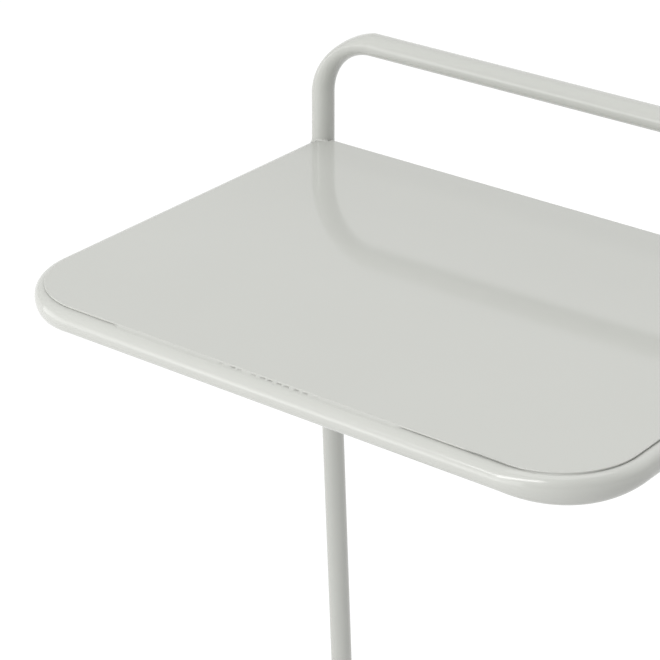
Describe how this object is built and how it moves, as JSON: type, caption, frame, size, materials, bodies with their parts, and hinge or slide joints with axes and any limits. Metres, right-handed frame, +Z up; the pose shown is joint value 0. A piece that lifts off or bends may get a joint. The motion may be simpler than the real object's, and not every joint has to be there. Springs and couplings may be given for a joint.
{
  "type": "side table",
  "caption": "Cantilever side table of bent steel tube with a flat sheet top, a carrying handle across its rear edge and a floor loop under the front.",
  "frame": {"origin": "on the floor, at the centre of the plan outline", "axes": "+Z up, +Y toward the handle side, +X to the right for someone who faces the handle from the front"},
  "size_m": [0.519, 0.4165, 0.7113],
  "materials": {
    "paint": "satin powder coat, light warm grey",
    "zinc": "zinc plated",
    "plastic": "moulded, light grey"
  },
  "bodies": {
    "root": {"tabletop_sheet": "paint", "rim_tube": "paint", "rear_rail": "paint", "handle_tube": "paint", "left_leg": "paint", "right_leg": "paint", "floor_loop": "paint", "stiffener_left": "paint", "stiffener_right": "paint", "post_spigot_left": "zinc", "post_spigot_right": "zinc", "floor_spigot_left": "zinc", "floor_spigot_right": "zinc", "post_joint_screws": "zinc", "post_joint_washers": "plastic", "floor_joint_screws": "zinc", "floor_joint_washers": "plastic", "glide_front_left": "plastic", "glide_front_right": "plastic", "glide_rear_left": "plastic", "glide_rear_right": "plastic"}
  },
  "joints": []
}
